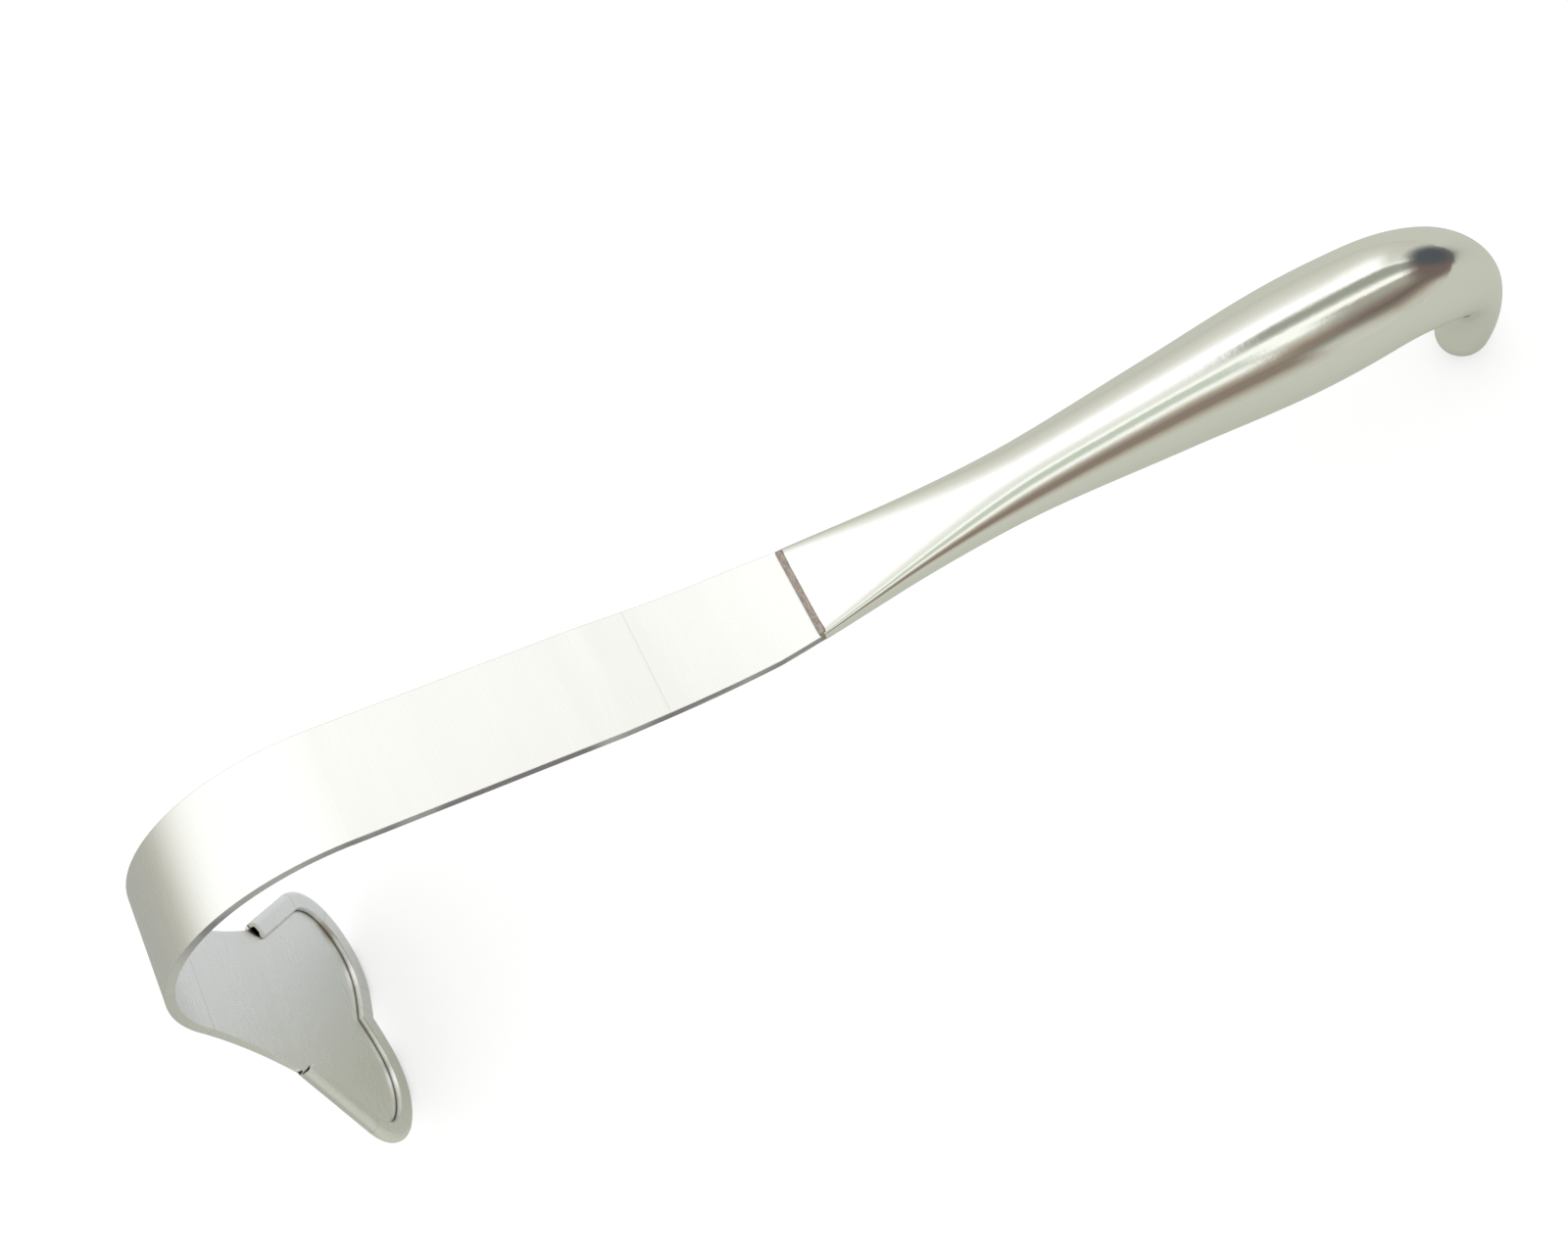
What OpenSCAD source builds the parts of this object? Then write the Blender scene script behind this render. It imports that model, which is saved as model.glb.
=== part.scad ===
// Surgical spatula: a hand-held abdominal retractor with a heart-shaped blade
// One strip of stainless steel runs from a tang inside the handle along a flat
// shank, round a wide bend and down into a heart-shaped face with a hemmed rim.
// The hollow handle is flat at its mouth, round at the grip and ends in a hook.
// Lengths in millimetres. The part stands as it rests on a table: on the two
// lobes of the heart and on the end of the handle's hook, table at z = 0.

/* [Blade strip] */
// thickness of the strip in the shank and the bend
blade_t = 2.2; // [1.8:0.1:3]
// width of the flat shank
shank_w = 25.4; // [20:0.2:32]
// width of the strip where it enters the handle
mouth_w = 21.4; // [17:0.2:24]
// length over which the shank narrows towards the handle
taper_len = 44; // [30:1:60]
// straight length of the shank, from the large bend to the gentle curve
level_len = 65.7; // [45:0.5:100]
// radius of the gentle curve that lifts the strip to the handle
rise_r = 152; // [120:2:200]
// angle of the strip where it enters the handle
rise_angle = 12.5; // [9:0.1:14]
// angle at which the straight shank falls towards the gentle curve
sag_angle = 0.6; // [0:0.1:2]
// outer radius of the large bend
bend_r = 44.5; // [30:0.5:60]
// how far the large bend turns
bend_angle = 115.6; // [90:0.2:130]

/* [Heart face] */
// thickness of the heart face
face_t = 1.2; // [1:0.1:1.5]
// length of the neck between the bend and the start of the hem
neck_len = 31; // [22:0.2:40]
// radius of the hollow flare on each side of the neck
flare_r = 160; // [100:5:220]
// angle at which the flare starts, at the end of the bend
flare_start = 4; // [0:1:8]
// straight part of the rim from the start of the hem
rim_line = 24.8; // [18:0.2:32]
// angle between that straight part and the middle line
rim_angle = 29.6; // [22:0.2:36]
// radius of the rim at the widest part of the heart
side_r = 13.3; // [10:0.1:18]
// how far the rim turns at the widest part
side_turn = 69.6; // [60:0.5:76]
// radius of the rim round the end of a lobe
lobe_r = 19.5; // [15:0.5:24]
// how far the rim turns round the end of a lobe
lobe_turn = 67.3; // [58:0.5:70]
// radius of the rim on the way into the dimple
dimple_r = 42; // [30:1:60]
// how far the rim turns on the way into the dimple
dimple_turn = 10; // [4:0.5:12]

/* [Hemmed rim] */
// height of the folded hem, face included
hem_h = 3.0; // [2.8:0.1:4]
// width of the hem, from its round outer edge to its free edge
hem_w = 4.8; // [4:0.1:6]
// how far the hem stands out beyond the edge of the neck
hem_out = 1.4; // [0.8:0.1:1.8]
// slope of the folded flap down to its free edge
hem_slope = 8; // [4:0.5:10]
// radius of the hollow left inside the fold
hem_hole_r = 0.5; // [0.3:0.05:0.6]
// how much later the flap starts at its free edge than at the fold
hem_slant = 2.6; // [0:0.1:4]

/* [Handle] */
// length of the straight axis of the handle
grip_len = 128.8; // [110:0.2:145]
// angle of the handle's axis above the shank
grip_angle = 14; // [10:0.2:18]
// radius of the hook, on its centre line
hook_r = 27.7; // [22:0.1:34]
// how far the hook turns
hook_turn = 107; // [95:1:120]
// radius of the round end of the hook
hook_end_r = 5.9; // [5:0.1:6.6]
// thickness of the handle's shell
wall = 1.0; // [0.8:0.1:1.4]
// height of the handle over its mouth
mouth_h = 3.5; // [3.2:0.1:5]
// depth of the tang inside the handle
tang_len = 17; // [12:1:22]

/* [Brazed joint] */
// width of the line of filler round the mouth
braze_w = 0.9; // [0.5:0.1:1.5]
// how far the filler stays below the handle's surface
braze_drop = 0.12; // [0.05:0.01:0.2]

/* [Hidden] */
$fn = 96;
// the bend is this much thinner all round than the straight lengths that lap over it
hair = 0.02;
lap = 0.12;

// side view of the strip: the middle of the mouth, on the top face, is at (0, 0);
// the straight shank, the bend and the face are laid out from the start of the curve
curve_c = [-rise_r * sin(rise_angle), rise_r * cos(rise_angle)];
curve_0 = curve_c + rise_r * [-sin(sag_angle), -cos(sag_angle)];
lower_a = 180 - bend_angle;
function from_level(p) = curve_0 + [p[0] * cos(sag_angle) + p[1] * sin(sag_angle),
                                    -p[0] * sin(sag_angle) + p[1] * cos(sag_angle)];

// rim of the heart, as the line of the fold's centre in the plane of the face:
// x away from the bend, y to the side, walked from the start of the hem to the dimple
fold_r = hem_h / 2;
flap = hem_w - fold_r;
flap_round = 0.55;
flap_x = flap_round - flap;
flap_z = fold_r + (fold_r - flap_round + flap_x * sin(hem_slope)) / cos(hem_slope);
flare_cx = -flare_r * sin(flare_start);
flare_cy = shank_w / 2 + flare_r * cos(flare_start);
neck_half = flare_cy - sqrt(pow(flare_r, 2) - pow(neck_len - flare_cx, 2));
rim0 = [neck_len + fold_r * sin(rim_angle), neck_half + hem_out - fold_r * cos(rim_angle)];
function step(p, a, d) = p + d * [cos(a), sin(a)];
function centre(p, a, r) = p + r * [sin(a), -cos(a)];
function turned(c, a, r) = c + r * [-sin(a), cos(a)];
a0 = rim_angle;
a1 = a0 - side_turn;
a2 = a1 - lobe_turn;
a3 = a2 - dimple_turn;
rim1 = step(rim0, a0, rim_line);
c1 = centre(rim1, a0, side_r);
rim2 = turned(c1, a1, side_r);
c2 = centre(rim2, a1, lobe_r);
rim3 = turned(c2, a2, lobe_r);
c3 = centre(rim3, a2, dimple_r);
rim4 = turned(c3, a3, dimple_r);
last_line = max(rim4[1], 0) / sin(-a3);
neck_end = neck_len + 2.6;
mitre = hem_w;
seam = 0.36;

// handle: centre line and sections
hook_len = hook_r * hook_turn * PI / 180;
line_len = grip_len + hook_len;
// each station: distance along the centre line, width, height
stations = [
    [0, mouth_w + 0.4, mouth_h],
    [0.20 * grip_len, 17.2, 8.0],
    [0.39 * grip_len, 16.5, 12.4],
    [0.64 * grip_len, 20.5, 19.1],
    [0.89 * grip_len, 24.7, 23.4],
    [grip_len + 0.28 * hook_len, 21.4, 20.1],
    [grip_len + 0.70 * hook_len, 12.8, 12.5],
    [line_len, 2 * hook_end_r, 2 * hook_end_r]];
last = len(stations) - 1;
section_n = 40;
grip_steps = 24;
hook_steps = 20;
square_len = 0.42 * grip_len;
grip_dir = [cos(grip_angle), 0, sin(grip_angle)];
grip_up = [-sin(grip_angle), 0, cos(grip_angle)];
grip_0 = [0, 0, -blade_t / 2];
hook_c = grip_0 + grip_len * grip_dir - hook_r * grip_up;

function slope(k, j) =
    k == 0 ? (stations[1][j] - stations[0][j]) / (stations[1][0] - stations[0][0]) :
    k == last ? (stations[k][j] - stations[k - 1][j]) / (stations[k][0] - stations[k - 1][0]) :
    (stations[k + 1][j] - stations[k - 1][j]) / (stations[k + 1][0] - stations[k - 1][0]);
function span_of(s, k = 0) = (k >= last - 1 || s < stations[k + 1][0]) ? k : span_of(s, k + 1);
function eased(s, j) =
    let (k = span_of(s), h = stations[k + 1][0] - stations[k][0], t = (s - stations[k][0]) / h)
    (2 * t * t * t - 3 * t * t + 1) * stations[k][j]
    + (t * t * t - 2 * t * t + t) * h * slope(k, j)
    + (3 * t * t - 2 * t * t * t) * stations[k + 1][j]
    + (t * t * t - t * t) * h * slope(k + 1, j);
function bent(s) = max(s - grip_len, 0) / hook_r * 180 / PI;
function heading(s) = grip_angle - bent(s);
function middle(s) = s <= grip_len ? grip_0 + s * grip_dir
    : hook_c + hook_r * [-sin(heading(s)), 0, cos(heading(s))];
// squareness of a section: 2 is an ellipse
function power(s) = 2 + 4 * pow(1 - min(s / square_len, 1), 2);
function signed(v, e) = sign(v) * pow(abs(v), e);
function ring(s, inset, n) =
    let (m = middle(s), h = heading(s), e = 2 / power(s),
         a = eased(s, 1) / 2 - inset, b = eased(s, 2) / 2 - inset)
    [for (i = [0:n - 1]) let (q = 360 * i / n, y = a * signed(cos(q), e), z = b * signed(sin(q), e))
        m + [-sin(h) * z, y, cos(h) * z]];
// rings of the half ball at the end of the hook
function cap(r, n, steps) =
    let (m = middle(line_len), h = heading(line_len))
    [for (k = [1:steps]) let (p = 86 * k / steps)
        [for (i = [0:n - 1]) let (q = 360 * i / n, y = r * cos(p) * cos(q), z = r * cos(p) * sin(q))
            m + [cos(h) * r * sin(p) - sin(h) * z, y, sin(h) * r * sin(p) + cos(h) * z]]];

// rest: the strip is tipped until the lobes and the hook's end share one level
fold_low = from_level([-level_len - bend_r * sin(lower_a) + (c2[0] + lobe_r) * cos(lower_a)
                       + fold_r * sin(lower_a),
                       -bend_r - bend_r * cos(lower_a) - (c2[0] + lobe_r) * sin(lower_a)
                       + fold_r * cos(lower_a)]);
bend_c = from_level([-level_len, -bend_r]);
hook_low = [middle(line_len)[0], middle(line_len)[2]];
gap_x = hook_low[0] - fold_low[0];
gap_z = hook_low[1] - fold_low[1];
rest_tilt = atan2(gap_z, gap_x) - asin((hook_end_r - fold_r) / norm([gap_x, gap_z]));
function rest_x(p) = p[0] * cos(rest_tilt) + p[2] * sin(rest_tilt);
function rest_z(p) = -p[0] * sin(rest_tilt) + p[2] * cos(rest_tilt);
left_x = min(rest_x([bend_c[0], 0, bend_c[1]]) - bend_r, rest_x([fold_low[0], 0, fold_low[1]]) - fold_r);
right_x = max([for (k = [0:hook_steps]) each
    [for (p = ring(grip_len + hook_len * k / hook_steps, 0, section_n)) rest_x(p)]]);
mid_x = (left_x + right_x) / 2;
floor_z = rest_z([fold_low[0], 0, fold_low[1]]) - fold_r;

module at_rest() {
    translate([-mid_x, 0, -floor_z]) rotate([0, rest_tilt, 0]) children();
}

// the straight shank's own frame: top face at z = 0, gentle curve from x = 0 on
module at_level() {
    translate([curve_0[0], 0, curve_0[1]]) rotate([0, sag_angle, 0]) children();
}

module at_face() {
    translate([-level_len - bend_r * sin(lower_a), 0, -bend_r - bend_r * cos(lower_a)])
        rotate([0, lower_a, 0]) children();
}

// a straight length of strip; x along, top face at z = 0
module strip(len, w) {
    translate([0, -w / 2, -blade_t]) cube([len, w, blade_t]);
}

// a length of strip turned about y; r is the radius of the top face
module turned_strip(r_in, r_out, turn, w) {
    rotate([90, 0, 0]) rotate_extrude(angle = turn)
        translate([r_in, -w / 2]) square([r_out - r_in, w]);
}

// straight shank, gentle curve and tang, seen from the side
module shank_side(w) {
    at_level() translate([-level_len - lap, 0, 0]) strip(level_len + 2 * lap, w);
    translate([curve_c[0], 0, curve_c[1]]) rotate([0, 90 + sag_angle, 0])
        turned_strip(rise_r + hair, rise_r + blade_t - hair, rise_angle + sag_angle, w);
    tang_side(w);
}

module tang_side(w) {
    translate([0, 0, -blade_t / 2]) rotate([0, -grip_angle, 0])
        translate([-blade_t * 0.08, 0, blade_t / 2]) strip(tang_len, w);
}

// the same parts seen from above: parallel, then narrowing to the mouth
module shank_plan() {
    tang_w = mouth_w - 5;
    far_x = curve_0[0] - level_len - 5;
    polygon([[far_x, shank_w / 2], [-taper_len, shank_w / 2], [-10, mouth_w / 2 + 0.9],
             [-0.4, mouth_w / 2], [-0.4, tang_w / 2], [tang_len + 2, tang_w / 2],
             [tang_len + 2, -tang_w / 2], [-0.4, -tang_w / 2], [-0.4, -mouth_w / 2],
             [-10, -mouth_w / 2 - 0.9], [-taper_len, -shank_w / 2], [far_x, -shank_w / 2]]);
}

module shank() {
    intersection() {
        shank_side(shank_w + 4);
        translate([0, 0, -20]) linear_extrude(40) shank_plan();
    }
}

module bend() {
    translate([-level_len, 0, -bend_r]) rotate([0, -90, 0])
        turned_strip(bend_r - blade_t + hair, bend_r - hair, bend_angle, shank_w - 2 * hair);
}

// neck: hollow flares either side, thinning from the strip to the face
module neck() {
    intersection() {
        linear_extrude(blade_t) difference() {
            translate([-lap, -neck_half - 4]) square([neck_end + lap, 2 * neck_half + 8]);
            for (m = [-1, 1]) translate([flare_cx, m * flare_cy]) circle(flare_r, $fn = 360);
        }
        rotate([90, 0, 0]) linear_extrude(4 * neck_half, center = true)
            polygon([[-lap, 0], [neck_end, 0], [neck_end, face_t], [neck_len, face_t],
                     [0, blade_t], [-lap, blade_t]]);
    }
}

// one side of the face, kept clear of the fold's hollow by inset
function rim_arc(c, r, from, to, inset, n = 12) =
    [for (k = [0:n]) turned(c, from + (to - from) * k / n, r - inset)];
module half_face(inset) {
    start = rim0 + inset * [sin(a0), -cos(a0)];
    polygon(concat(
        [[neck_len - 1, 0], [neck_len - 1, start[1] - 3], [start[0], start[1]]],
        rim_arc(c1, side_r, a0, a1, inset), rim_arc(c2, lobe_r, a1, a2, inset),
        rim_arc(c3, dimple_r, a2, a3, inset, 4),
        [[rim4[0] + last_line * cos(a3) - inset / sin(-a3), 0]]));
}

// section of the hem: x out from the fold's centre, y up from the outer face
module hem_section(grow = 0) {
    low = max(grow, 0);
    n = [-sin(hem_slope), cos(hem_slope)];
    difference() {
        union() {
            translate([0, fold_r]) circle(fold_r + grow, $fn = 48);
            translate([flap_x, flap_z]) circle(flap_round + grow, $fn = 32);
            polygon([[0, -low], [0, fold_r], [0, fold_r] + (fold_r + grow - hair) * n,
                     [flap_x, flap_z] + (flap_round + grow - hair) * n, [flap_x, flap_z],
                     [-flap - low, flap_z], [-flap - low, -low]]);
        }
        hem_hollow(grow);
    }
}

// hollow inside the fold: widest at the fold, closing towards the free edge
module hem_hollow(grow) {
    r = hem_hole_r;
    translate([-0.1, face_t + r]) circle(r - grow, $fn = 24);
    polygon([[-0.1, face_t + grow], [-0.1, face_t + 2 * r - grow],
             [-flap * 0.48, face_t + 1.6 * r - grow], [-flap + 0.7, face_t + 0.12 - grow],
             [-flap + 0.7, face_t + grow]]);
}

module hem_line(p, a, from, len, grow = 0) {
    translate([p[0], p[1], 0]) rotate([0, 0, a]) translate([from, 0, 0]) rotate([90, 0, 90])
        linear_extrude(len) hem_section(grow);
}

// an arc of rim, kept a hair short at both ends
module hem_arc(c, r, from, to) {
    short = seam / 6 / r * 180 / PI;
    translate([c[0], c[1], 0]) rotate([0, 0, to + 90 + short])
        rotate_extrude(angle = from - to - 2 * short) translate([r, 0]) hem_section();
}

// narrow dressed seam that joins one length of rim to the next
module hem_seam(p, a) {
    hem_line(p, a, -seam / 2, seam, 0.02);
}

module half_hem() {
    intersection() {
        union() {
            hem_line(rim0, a0, 0, rim_line - seam / 6);
            hem_seam(rim1, a0);
            hem_arc(c1, side_r, a0, a1);
            hem_seam(rim2, a1);
            hem_arc(c2, lobe_r, a1, a2);
            hem_seam(rim3, a2);
            hem_arc(c3, dimple_r, a2, a3);
            hem_seam(rim4, a3);
            hem_line(rim4, a3, seam / 6, last_line + mitre);
        }
        translate([0, 0, -1]) cube([200, 100, hem_h + 2]);
    }
}

module heart() {
    difference() {
        union() {
            neck();
            for (m = [0, 1]) mirror([0, m, 0]) {
                linear_extrude(face_t) half_face(hem_hole_r + 0.3);
                half_hem();
            }
        }
        for (m = [0, 1]) mirror([0, m, 0]) translate([rim0[0], rim0[1], face_t]) rotate([0, 0, a0])
            linear_extrude(hem_h) polygon([[-2, fold_r + 2], [-hem_slant * 2 / hem_w, fold_r + 2],
                [hem_slant * (1 + 1 / hem_w), -flap - 1], [-2, -flap - 1]]);
    }
}

module blade() {
    color([0.80, 0.81, 0.80]) at_rest() {
        shank();
        at_level() {
            bend();
            at_face() heart();
        }
    }
}

// skin through a list of closed rings with the same number of points each
module skin(rings) {
    n = len(rings[0]);
    m = len(rings);
    polyhedron(
        points = [for (r = rings) each r],
        faces = concat(
            [[for (i = [0:n - 1]) i]],
            [for (k = [0:m - 2]) for (i = [0:n - 1]) each
                [[k * n + i, (k + 1) * n + i, (k + 1) * n + (i + 1) % n],
                 [k * n + i, (k + 1) * n + (i + 1) % n, k * n + (i + 1) % n]]],
            [[for (i = [0:n - 1]) m * n - 1 - i]]));
}

module handle() {
    inner_n = 24;
    inner_0 = tang_len + 8;
    color([0.86, 0.86, 0.84]) at_rest() difference() {
        skin(concat(
            [for (k = [0:grip_steps]) ring(grip_len * k / grip_steps, 0, section_n)],
            [for (k = [1:hook_steps]) ring(grip_len + hook_len * k / hook_steps, 0, section_n)],
            cap(hook_end_r, section_n, 6)));
        skin(concat(
            [for (k = [0:14]) ring(inner_0 + (grip_len - inner_0) * k / 14, wall, inner_n)],
            [for (k = [1:10]) ring(grip_len + hook_len * k / 10, wall, inner_n)],
            cap(hook_end_r - wall, inner_n, 4)));
        shank();
    }
}

module braze() {
    color([0.47, 0.42, 0.37]) at_rest() difference() {
        translate(grip_0) rotate([0, -grip_angle, 0]) rotate([90, 0, -90])
            linear_extrude(braze_w) braze_outline();
        shank();
    }
}

module braze_outline() {
    w = mouth_w + 0.4 - 2 * braze_drop;
    h = mouth_h - 2 * braze_drop;
    r = 0.9;
    square([w - 2 * r, h], center = true);
    square([w, h - 2 * r], center = true);
    for (x = [-1, 1], y = [-1, 1]) translate([x * (w / 2 - r), y * (h / 2 - r)]) circle(r, $fn = 32);
}

blade();
handle();
braze();
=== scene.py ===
import bpy, math
from mathutils import Vector, Matrix


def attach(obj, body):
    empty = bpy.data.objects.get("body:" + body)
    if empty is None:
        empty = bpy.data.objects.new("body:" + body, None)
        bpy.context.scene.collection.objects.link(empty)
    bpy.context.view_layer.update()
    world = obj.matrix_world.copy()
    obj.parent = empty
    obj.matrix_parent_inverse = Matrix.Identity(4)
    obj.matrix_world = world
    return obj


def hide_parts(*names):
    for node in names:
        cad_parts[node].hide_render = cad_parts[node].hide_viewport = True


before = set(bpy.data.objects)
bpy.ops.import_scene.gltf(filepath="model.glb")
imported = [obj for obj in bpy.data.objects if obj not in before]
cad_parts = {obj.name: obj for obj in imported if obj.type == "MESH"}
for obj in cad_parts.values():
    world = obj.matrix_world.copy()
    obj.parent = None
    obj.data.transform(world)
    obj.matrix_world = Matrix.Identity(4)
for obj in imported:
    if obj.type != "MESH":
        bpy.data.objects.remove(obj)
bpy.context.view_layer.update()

# shared frame
# strip frame, millimetres: the mouth's middle is at (0, 0) and the shank is level;
# the part is tipped by TILT to rest on the heart's lobes and the hook's end
TILT = math.radians(26.0800125)
MID_X = -1.78145
FLOOR_Z = -74.3926004
CT, ST = math.cos(TILT), math.sin(TILT)


def rest(x, y, z):
    """A point of the strip frame, in the row frame, in metres."""
    return Vector(((x * CT + z * ST - MID_X) / 1000, y / 1000, (-x * ST + z * CT - FLOOR_Z) / 1000))


def turn(x, y, z):
    """A direction of the strip frame, in the row frame."""
    return Vector((x * CT + z * ST, y, -x * ST + z * CT))


# node helpers
def tone(r, g, b, gain=1.0):
    """A colour named by its 0 to 255 values, as linear light."""
    out = []
    for v in (r, g, b):
        v /= 255
        out.append(gain * (v / 12.92 if v <= 0.04045 else ((v + 0.055) / 1.055) ** 2.4))
    return tuple(out)


def mat(name):
    m = bpy.data.materials.new(name)
    m.use_nodes = True
    nt = m.node_tree
    nt.nodes.clear()
    out = nt.nodes.new("ShaderNodeOutputMaterial")
    return m, nt, out


def node(nt, kind, **kw):
    n = nt.nodes.new(kind)
    for k, v in kw.items():
        n.inputs[k].default_value = v
    return n


def calc(nt, op, *args, clamp=False):
    n = nt.nodes.new("ShaderNodeMath")
    n.operation = op
    n.use_clamp = clamp
    for i, v in enumerate(args):
        if isinstance(v, (int, float)):
            n.inputs[i].default_value = v
        else:
            nt.links.new(v, n.inputs[i])
    return n.outputs[0]


def span(nt, value, lo, hi):
    """0 below lo, 1 above hi, smooth between."""
    n = nt.nodes.new("ShaderNodeMapRange")
    n.interpolation_type = "SMOOTHSTEP"
    n.inputs["From Min"].default_value = lo
    n.inputs["From Max"].default_value = hi
    nt.links.new(value, n.inputs["Value"])
    return n.outputs["Result"]


def blend(nt, fac, a, b):
    n = nt.nodes.new("ShaderNodeMix")
    n.data_type = "RGBA"
    for i, v in ((0, fac), (6, a), (7, b)):
        if isinstance(v, tuple):
            n.inputs[i].default_value = v + (1,)
        elif isinstance(v, (int, float)):
            n.inputs[i].default_value = v
        else:
            nt.links.new(v, n.inputs[i])
    return n.outputs[2]


def ramp(nt, fac, stops):
    n = nt.nodes.new("ShaderNodeValToRGB")
    n.color_ramp.interpolation = "LINEAR"
    while len(n.color_ramp.elements) < len(stops):
        n.color_ramp.elements.new(0.5)
    for e, (p, c) in zip(n.color_ramp.elements, stops):
        e.position = p
        e.color = c + (1,)
    nt.links.new(fac, n.inputs["Fac"])
    return n.outputs["Color"]


def noise(nt, vector, scale, detail=2.0, rough=0.5):
    n = node(nt, "ShaderNodeTexNoise", Scale=scale, Detail=detail, Roughness=rough)
    nt.links.new(vector, n.inputs["Vector"])
    return n.outputs["Fac"]


def shade(nt, colour, amount):
    """A colour made darker or lighter by a number."""
    n = nt.nodes.new("ShaderNodeVectorMath")
    n.operation = "SCALE"
    nt.links.new(colour, n.inputs[0])
    nt.links.new(amount, n.inputs["Scale"])
    return n.outputs[0]


def stretched(nt, vector, tilt, scale):
    n = nt.nodes.new("ShaderNodeMapping")
    n.inputs["Rotation"].default_value = (0, tilt, 0)
    n.inputs["Scale"].default_value = scale
    nt.links.new(vector, n.inputs["Vector"])
    return n.outputs[0]


def relief(nt, height, strength, distance, normal=None):
    n = node(nt, "ShaderNodeBump", Strength=strength, Distance=distance)
    nt.links.new(height, n.inputs["Height"])
    if normal is not None:
        nt.links.new(normal, n.inputs["Normal"])
    return n.outputs[0]


# materials
def blade_steel():
    """Satin stainless steel, ground across the strip, with its edges dressed round."""
    m, nt, out = mat("blade_satin_steel")
    b = node(nt, "ShaderNodeBsdfPrincipled", Metallic=1.0)
    nt.links.new(b.outputs[0], out.inputs["Surface"])
    pos = nt.nodes.new("ShaderNodeTexCoord").outputs["Object"]
    lines = noise(nt, stretched(nt, pos, TILT, (1.0, 0.02, 1.0)), 2400.0, 3.0, 0.6)
    broad = noise(nt, stretched(nt, pos, TILT, (1.0, 0.10, 1.0)), 160.0, 3.0, 0.5)
    cloud = noise(nt, pos, 30.0, 2.0)
    steel = blend(nt, cloud, (0.90, 0.90, 0.885), (0.93, 0.93, 0.915))
    streak = calc(nt, "MULTIPLY_ADD", lines, 0.03, 0.985)
    steel = shade(nt, steel, streak)
    # painted shade: the sawn edges of the shank are painted darker and a little violet, in patches, faded out
    # towards the bottom and to the left
    facing = nt.nodes.new("ShaderNodeSeparateXYZ")
    nt.links.new(nt.nodes.new("ShaderNodeNewGeometry").outputs["True Normal"], facing.inputs[0])
    painted_edge_shade = span(nt, calc(nt, "ABSOLUTE", facing.outputs["Y"]), 0.93, 0.985)
    place = nt.nodes.new("ShaderNodeSeparateXYZ")
    nt.links.new(pos, place.inputs[0])
    upper = calc(nt, "MULTIPLY_ADD", span(nt, place.outputs["X"], -0.138, -0.120), 0.92, 0.08)
    above = span(nt, place.outputs["Z"], 0.050, 0.062)
    # the painted shade on the edges is weaker low down and to the left
    painted_edge_shade = calc(nt, "MULTIPLY", painted_edge_shade, calc(nt, "MULTIPLY", upper, above))
    patchy = span(nt, noise(nt, pos, 55.0, 2.0), 0.38, 0.62)
    steel = blend(nt, painted_edge_shade, steel, blend(nt, patchy, (0.30, 0.27, 0.32), (0.62, 0.60, 0.645)))
    # painted shade in the crease under the folded rim and in other tight hollows, darkened where ambient occlusion
    # is low
    crease_shade = node(nt, "ShaderNodeAmbientOcclusion", Distance=0.0014)
    crease_shade.samples = 8
    # the base colour goes near black where the painted crease shade is deepest
    steel = blend(nt, span(nt, crease_shade.outputs["AO"], 0.45, 0.78), (0.10, 0.09, 0.085), steel)
    nt.links.new(steel, b.inputs["Base Color"])
    r = calc(nt, "MULTIPLY_ADD", lines, 0.06, 0.22)
    nt.links.new(calc(nt, "MULTIPLY_ADD", broad, 0.06, r), b.inputs["Roughness"])
    soft = nt.nodes.new("ShaderNodeBevel")
    soft.samples = 6
    soft.inputs["Radius"].default_value = 0.00018
    fine = relief(nt, lines, 0.035, 0.00002, soft.outputs[0])
    nt.links.new(relief(nt, broad, 0.03, 0.00006, fine), b.inputs["Normal"])
    return m


def handle_steel():
    """Polished stainless steel: hairline scratches along the handle and a hand-polished ripple."""
    m, nt, out = mat("handle_polished_steel")
    b = node(nt, "ShaderNodeBsdfPrincipled", Metallic=1.0)
    nt.links.new(b.outputs[0], out.inputs["Surface"])
    pos = nt.nodes.new("ShaderNodeTexCoord").outputs["Object"]
    grip_tilt = TILT - math.radians(14)
    hair = noise(nt, stretched(nt, pos, grip_tilt, (0.04, 1.0, 1.0)), 1500.0, 3.0, 0.6)
    ripple = noise(nt, stretched(nt, pos, grip_tilt, (0.45, 1.0, 1.0)), 130.0, 2.0, 0.5)
    speck = noise(nt, pos, 520.0, 3.0, 0.65)
    cloud = noise(nt, pos, 26.0, 2.0)
    nt.links.new(blend(nt, cloud, (0.88, 0.88, 0.86), (0.91, 0.91, 0.89)), b.inputs["Base Color"])
    r = calc(nt, "MULTIPLY_ADD", hair, 0.05, 0.03)
    nt.links.new(calc(nt, "MULTIPLY_ADD", cloud, 0.06, r), b.inputs["Roughness"])
    fine = relief(nt, hair, 0.06, 0.00002)
    fine = relief(nt, speck, 0.45, 0.00003, fine)
    nt.links.new(relief(nt, ripple, 0.26, 0.0001, fine), b.inputs["Normal"])
    return m


def filler_metal():
    """Dull brown-grey brazing filler, pitted."""
    m, nt, out = mat("joint_filler")
    b = node(nt, "ShaderNodeBsdfPrincipled", Metallic=1.0)
    nt.links.new(b.outputs[0], out.inputs["Surface"])
    pos = nt.nodes.new("ShaderNodeTexCoord").outputs["Object"]
    spots = noise(nt, pos, 900.0, 4.0, 0.65)
    nt.links.new(blend(nt, span(nt, spots, 0.35, 0.65), (0.35, 0.295, 0.27), (0.54, 0.47, 0.43)),
                 b.inputs["Base Color"])
    nt.links.new(calc(nt, "MULTIPLY_ADD", spots, 0.3, 0.35), b.inputs["Roughness"])
    nt.links.new(relief(nt, spots, 0.4, 0.0001), b.inputs["Normal"])
    return m


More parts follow.
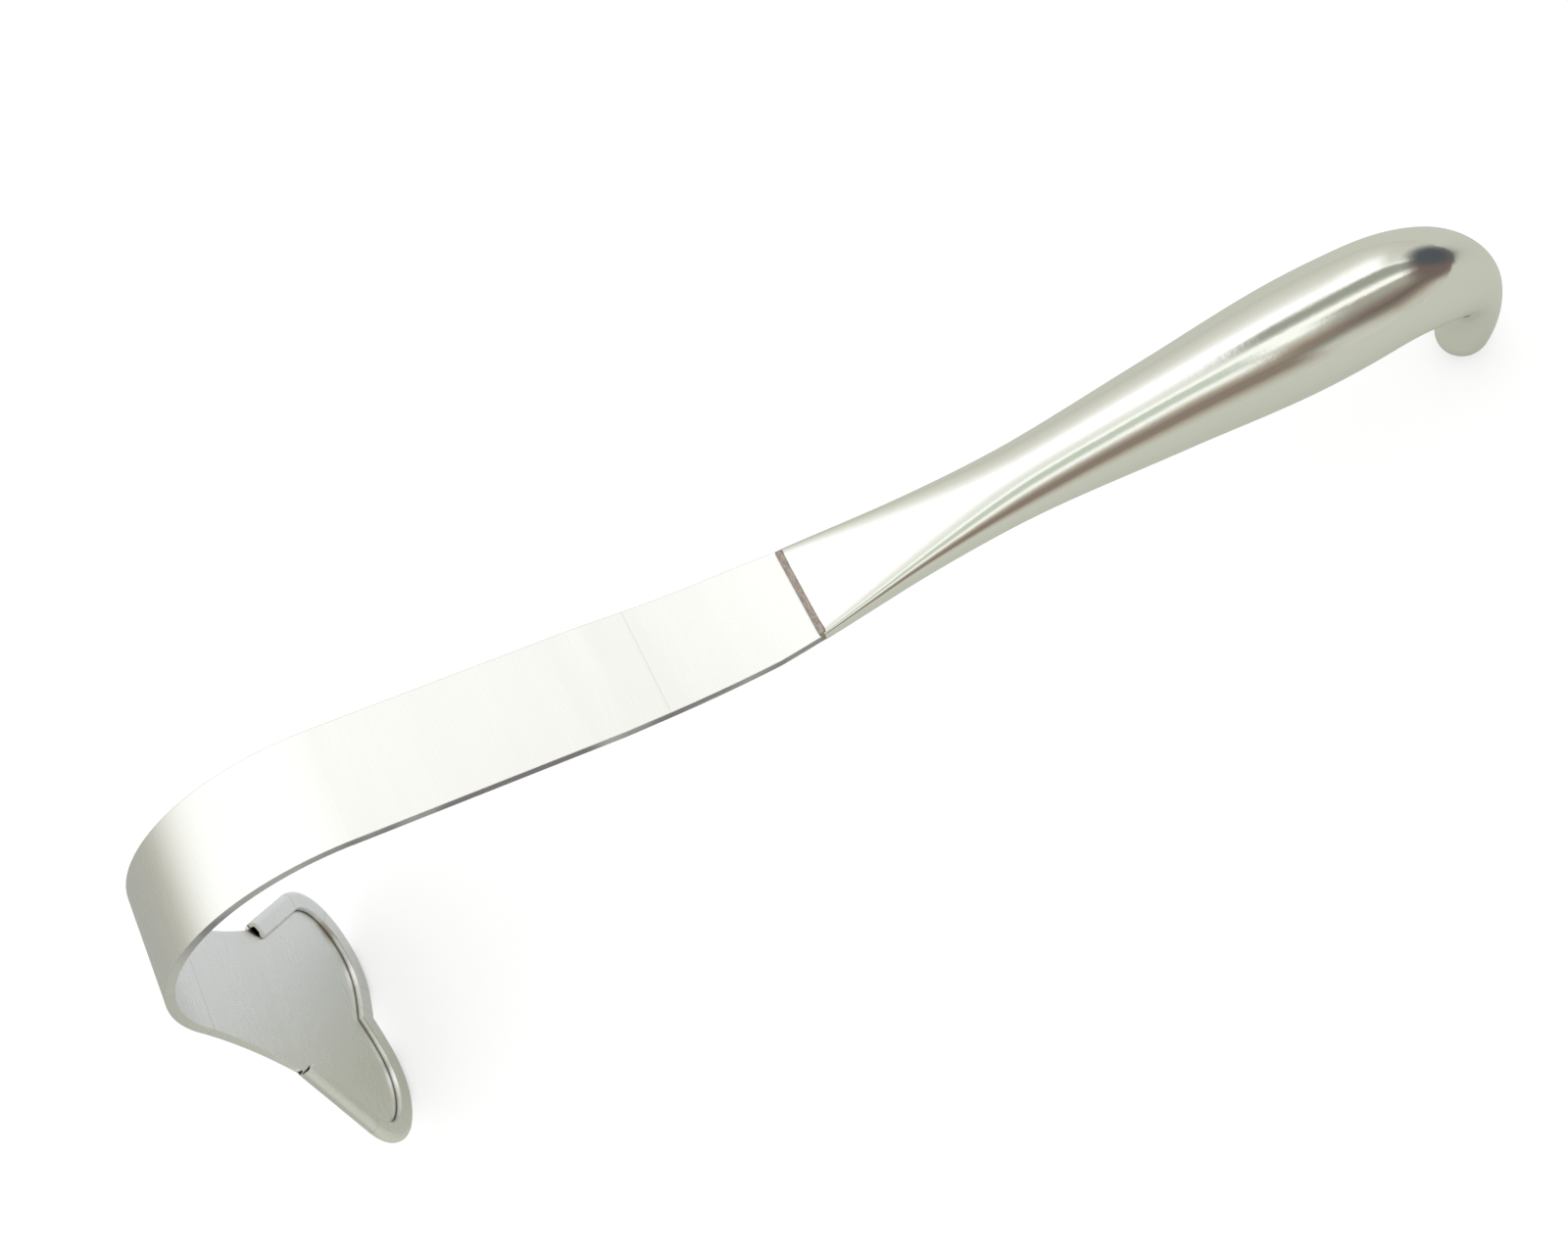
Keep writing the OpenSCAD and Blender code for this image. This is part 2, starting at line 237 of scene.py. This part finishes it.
blade_mat, handle_mat, braze_mat = blade_steel(), handle_steel(), filler_metal()
for name, m in (("blade", blade_mat), ("handle", handle_mat), ("braze", braze_mat)):
    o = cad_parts[name]
    o.data.materials.clear()
    o.data.materials.append(m)

# the handle as one smooth shell
GRIP, HOOK_R, HOOK_TURN, END_R = 128.8, 27.7, math.radians(107), 5.9
GRIP_A = math.radians(14)
HOOK = HOOK_R * HOOK_TURN
MOUTH_W, MOUTH_H = 21.8, 3.5
HAIR = 0.015                     # keeps the smooth shell inside the solid's box
STATIONS = [
    (0, MOUTH_W, MOUTH_H), (0.20 * GRIP, 17.2, 8.0), (0.39 * GRIP, 16.5, 12.4), (0.64 * GRIP, 20.5, 19.1),
    (0.89 * GRIP, 24.7, 23.4), (GRIP + 0.28 * HOOK, 21.4, 20.1), (GRIP + 0.70 * HOOK, 12.8, 12.5),
    (GRIP + HOOK, 2 * END_R, 2 * END_R)]
GRIP_0 = Vector((0, 0, -1.1))
HOOK_C = GRIP_0 + GRIP * Vector((math.cos(GRIP_A), 0, math.sin(GRIP_A))) \
    - HOOK_R * Vector((-math.sin(GRIP_A), 0, math.cos(GRIP_A)))


def slope(k, j):
    a, b = STATIONS[max(k - 1, 0)], STATIONS[min(k + 1, len(STATIONS) - 1)]
    return (b[j] - a[j]) / (b[0] - a[0])


def eased(s, j):
    k = 0
    while k < len(STATIONS) - 2 and s >= STATIONS[k + 1][0]:
        k += 1
    a, b = STATIONS[k], STATIONS[k + 1]
    h = b[0] - a[0]
    t = (s - a[0]) / h
    return ((2 * t ** 3 - 3 * t * t + 1) * a[j] + (t ** 3 - 2 * t * t + t) * h * slope(k, j)
            + (3 * t * t - 2 * t ** 3) * b[j] + (t ** 3 - t * t) * h * slope(k + 1, j))


def signed(v, e):
    return math.copysign(abs(v) ** e, v)


def along(s):
    """Middle of the handle and its heading, at distance s from the mouth."""
    h = GRIP_A - max(s - GRIP, 0) / HOOK_R
    if s <= GRIP:
        return GRIP_0 + s * Vector((math.cos(h), 0, math.sin(h))), h
    return HOOK_C + HOOK_R * Vector((-math.sin(h), 0, math.cos(h))), h


def section(s, n, forward=0.0, shrink=1.0):
    mid, h = along(s)
    p = 2 + 4 * (1 - min(s / (0.42 * GRIP), 1)) ** 2
    a, b = (eased(s, 1) / 2 - HAIR) * shrink, (eased(s, 2) / 2 - HAIR) * shrink
    mid = mid + forward * Vector((math.cos(h), 0, math.sin(h)))
    ring = []
    for i in range(n):
        q = 2 * math.pi * (i + 0.5) / n
        y, z = a * signed(math.cos(q), 2 / p), b * signed(math.sin(q), 2 / p)
        ring.append(rest(*(mid + Vector((-math.sin(h) * z, y, math.cos(h) * z)))))
    return ring


def smooth_handle(n=176, grip_steps=150, hook_steps=90, cap_steps=18):
    rings = [section(GRIP * k / grip_steps, n) for k in range(grip_steps + 1)]
    rings += [section(GRIP + HOOK * k / hook_steps, n) for k in range(1, hook_steps + 1)]
    for k in range(1, cap_steps + 1):
        p = math.radians(89 * k / cap_steps)
        rings.append(section(GRIP + HOOK, n, forward=END_R * math.sin(p), shrink=math.cos(p)))
    verts = [v for r in rings for v in r]
    faces = []
    for k in range(len(rings) - 1):
        for i in range(n):
            j = (i + 1) % n
            faces.append((k * n + i, k * n + j, (k + 1) * n + j, (k + 1) * n + i))
    last = (len(rings) - 1) * n
    faces.append(tuple(last + i for i in range(n)))
    me = bpy.data.meshes.new("handle_smooth")
    me.from_pydata(verts, [], faces)
    me.shade_smooth()
    me.materials.append(handle_mat)
    o = bpy.data.objects.new("handle_smooth", me)
    bpy.context.scene.collection.objects.link(o)
    return o


def mouth_cap(n=176):
    """The flat end of the handle, round the strip."""
    outer = section(0, n)
    me = bpy.data.meshes.new("handle_mouth")
    me.from_pydata(outer, [], [tuple(reversed(range(n)))])
    me.materials.append(handle_mat)
    o = bpy.data.objects.new("handle_mouth", me)
    bpy.context.scene.collection.objects.link(o)
    return o


def bead(n=140, m=14):
    """The raised, slightly wavy line of filler across the top of the mouth."""
    verts, faces = [], []
    reach = MOUTH_W / 2 - 0.45
    for i in range(n + 1):
        y = -reach + 2 * reach * i / n
        wave = 0.05 * math.sin(1.9 * y) + 0.035 * math.sin(5.3 * y + 1.0)
        wide = 0.70 + 0.05 * math.sin(2.7 * y + 0.6) + 0.03 * math.sin(8.1 * y)
        end = math.sqrt(max(1 - (y / reach) ** 8, 0.0)) + 0.02
        for j in range(m + 1):
            q = math.pi * j / m
            verts.append(rest(-0.18 + wave + wide * end * math.cos(q), y, 0.40 + 0.32 * end * math.sin(q)))
    for i in range(n):
        for j in range(m):
            k = i * (m + 1) + j
            faces.append((k, k + 1, k + m + 2, k + m + 1))
    me = bpy.data.meshes.new("filler_bead")
    me.from_pydata(verts, [], faces)
    me.shade_smooth()
    me.materials.append(braze_mat)
    o = bpy.data.objects.new("filler_bead", me)
    bpy.context.scene.collection.objects.link(o)
    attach(o, "root")
    return o


bead()
shell = smooth_handle()
cap = mouth_cap()
for o in (shell, cap):
    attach(o, "root")
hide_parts("handle")

# stage
PAPER = (0.62, 0.635, 0.55)      # warm pale grey sheet, as the steel shows it
PAPER_BACK = (0.74, 0.76, 0.765)  # cooler and lighter behind the part
PAPER_LEFT = (0.44, 0.445, 0.40)  # in half shade to the left
PAPER_RIGHT = (0.13, 0.125, 0.12)  # the sheet is dark in a wedge far to the right
PAPER_WHITE = (0.66, 0.66, 0.66)  # the sheet as the camera sees it, with the lift
PAPER_LIFT = 0.46                # lifts the sheet to white for the camera alone


def plane(name, centre, u, v, m):
    me = bpy.data.meshes.new(name)
    c, u, v = Vector(centre), Vector(u), Vector(v)
    me.from_pydata([c - u - v, c + u - v, c + u + v, c - u + v], [], [(0, 1, 2, 3)])
    me.materials.append(m)
    o = bpy.data.objects.new(name, me)
    bpy.context.scene.collection.objects.link(o)
    return o


fm, nt, out = mat("floor_pale")
sheet = node(nt, "ShaderNodeBsdfDiffuse")
lift = node(nt, "ShaderNodeEmission", Color=(1, 1, 1, 1))
lp = nt.nodes.new("ShaderNodeLightPath")
nt.links.new(calc(nt, "MULTIPLY", lp.outputs["Is Camera Ray"], PAPER_LIFT), lift.inputs["Strength"])
place = nt.nodes.new("ShaderNodeSeparateXYZ")
nt.links.new(nt.nodes.new("ShaderNodeTexCoord").outputs["Object"], place.inputs[0])
behind = calc(nt, "MULTIPLY", span(nt, place.outputs["Y"], -0.015, 0.03), span(nt, place.outputs["X"], 0.02, -0.06))
tint = blend(nt, behind, PAPER, PAPER_BACK)
tint = blend(nt, span(nt, place.outputs["X"], -0.16, -0.24), tint, PAPER_LEFT)
aside = calc(nt, "MULTIPLY_ADD", place.outputs["X"], -0.12, place.outputs["Y"])
wedge = calc(nt, "MULTIPLY_ADD", calc(nt, "ABSOLUTE", aside), -3.2, place.outputs["X"])
tint = blend(nt, span(nt, wedge, 0.10, 0.90), tint, PAPER_RIGHT)
nt.links.new(blend(nt, lp.outputs["Is Camera Ray"], tint, PAPER_WHITE), sheet.inputs["Color"])
add = nt.nodes.new("ShaderNodeAddShader")
nt.links.new(sheet.outputs[0], add.inputs[0])
nt.links.new(lift.outputs[0], add.inputs[1])
nt.links.new(add.outputs[0], out.inputs["Surface"])
plane("floor", (0, 0, 0), (8, 0, 0), (0, 8, 0), fm)

# the room: white ceiling light, two pale window bars and a dark wooden side on the near hand
w = bpy.data.worlds.new("room")
bpy.context.scene.world = w
w.use_nodes = True
nt = w.node_tree
nt.nodes.clear()
out = nt.nodes.new("ShaderNodeOutputWorld")
tc = nt.nodes.new("ShaderNodeTexCoord")
sep = nt.nodes.new("ShaderNodeSeparateXYZ")
nt.links.new(tc.outputs["Generated"], sep.inputs[0])
to_near = calc(nt, "MULTIPLY", sep.outputs["Y"], -1.0)
angle = calc(nt, "ARCTAN2", to_near, sep.outputs["Z"])
turned = calc(nt, "MULTIPLY_ADD", angle, 1 / math.pi, 0.5)       # 0 far horizon, 0.5 zenith, 1 near horizon
GAIN = 1.12
CEILING = (262, 262, 260)
BAR = (251, 253, 245)            # window bars
HAZE = (234, 235, 228)
MIST = (223, 226, 217)
STONE = (214, 213, 203)
PALE = (199, 199, 188)
KHAKI = (188, 188, 177)
GREEN = (192, 201, 186)          # garden between the bars
TAN = (170, 162, 146)
SLATE = (152, 155, 144)
WOOD = (134, 122, 110)
DARK_WOOD = (106, 96, 88)
UMBER = (110, 97, 91)
BLACKISH = (78, 83, 86)
SHADE = (168, 166, 153)


def side(*stops):
    """A slice of the room: tones by their angle from the zenith, minus towards the far side."""
    return ramp(nt, turned, [(angle / 180 + 0.5, tone(*c, gain=GAIN)) for angle, c in stops])


grip_side = side(
    (-90, KHAKI), (-72, PALE), (-56, STONE), (-45, HAZE), (-36, CEILING), (-12, CEILING), (-4, HAZE),
    (4, MIST), (9, BAR), (12, BAR), (15, GREEN), (25, GREEN), (29, HAZE), (34, BAR), (39, STONE),
    (45, TAN), (55, WOOD), (68, WOOD), (77, TAN), (86, KHAKI))
swell_side = side(
    (-90, KHAKI), (-72, PALE), (-60, STONE), (-47, BAR), (-38, CEILING), (-25, CEILING), (-19, STONE),
    (-13, SLATE), (-4, SLATE), (1, KHAKI), (6, BAR), (23, BAR), (29, PALE), (37, TAN), (46, WOOD),
    (57, WOOD), (63, SLATE), (70, KHAKI), (90, PALE))
hook_side = side(
    (-90, KHAKI), (-56, PALE), (-34, STONE), (-25, HAZE), (-20, SLATE), (-5, SLATE), (0, KHAKI),
    (6, BAR), (12, BAR), (17, TAN), (28, SLATE), (40, WOOD), (52, DARK_WOOD), (63, WOOD), (73, TAN),
    (82, KHAKI))
far_side = calc(nt, "SUBTRACT", 1.0, span(nt, turned, 0.355, 0.42))
rightward = calc(nt, "MULTIPLY_ADD", far_side, -0.19, sep.outputs["X"])
seen = blend(nt, span(nt, rightward, 0.26, 0.36), grip_side, swell_side)
seen = blend(nt, span(nt, rightward, 0.40, 0.55), seen, hook_side)


def patch(under, middle, inner, outer, colour):
    """A soft round patch of another colour in the direction middle, its edges given as angles."""
    dot = nt.nodes.new("ShaderNodeVectorMath")
    dot.operation = "DOT_PRODUCT"
    nt.links.new(tc.outputs["Generated"], dot.inputs[0])
    dot.inputs[1].default_value = Vector(middle).normalized()
    inside = span(nt, dot.outputs["Value"], math.cos(math.radians(outer)), math.cos(math.radians(inner)))
    return blend(nt, inside, under, tone(*colour, gain=GAIN))


seen = patch(seen, (0.95, -0.08, 0.22), 10, 27, UMBER)
seen = patch(seen, (0.95, 0.20, 0.20), 7, 22, BLACKISH)
low = calc(nt, "SUBTRACT", 1.0, span(nt, sep.outputs["Z"], 0.02, 0.50))
leftward = calc(nt, "MULTIPLY", low, span(nt, calc(nt, "MULTIPLY", sep.outputs["X"], -1.0), 0.25, 0.65))
seen = blend(nt, leftward, seen, tone(*SHADE, gain=GAIN))
plain = node(nt, "ShaderNodeBackground", Color=(1, 1, 1, 1), Strength=0.95)
room = node(nt, "ShaderNodeBackground", Strength=1.0)
white = node(nt, "ShaderNodeBackground", Color=(1, 1, 1, 1), Strength=1.0)
nt.links.new(seen, room.inputs["Color"])
lp = nt.nodes.new("ShaderNodeLightPath")
m1 = nt.nodes.new("ShaderNodeMixShader")
m2 = nt.nodes.new("ShaderNodeMixShader")
nt.links.new(lp.outputs["Is Glossy Ray"], m1.inputs[0])
nt.links.new(plain.outputs[0], m1.inputs[1])
nt.links.new(room.outputs[0], m1.inputs[2])
nt.links.new(lp.outputs["Is Camera Ray"], m2.inputs[0])
nt.links.new(m1.outputs[0], m2.inputs[1])
nt.links.new(white.outputs[0], m2.inputs[2])
nt.links.new(m2.outputs[0], out.inputs["Surface"])

# camera
cam = bpy.data.cameras.new("cam")
cam.sensor_fit = "HORIZONTAL"
cam.sensor_width = 36
cam.lens = 2200 / 1600 * 36
cam.clip_start = 0.01
co = bpy.data.objects.new("cam", cam)
bpy.context.scene.collection.objects.link(co)
RIGHT = turn(0.90275, -0.42822, 0.04085)
UP = -turn(-0.35689, -0.79860, -0.48463)
BACK = -turn(0.24015, 0.42291, -0.87377)
m4 = Matrix((RIGHT, UP, BACK)).transposed().to_4x4()
m4.translation = rest(-109.731, -186.696, 374.561)
co.matrix_world = m4
bpy.context.scene.camera = co
bpy.context.scene.view_settings.view_transform = "Standard"
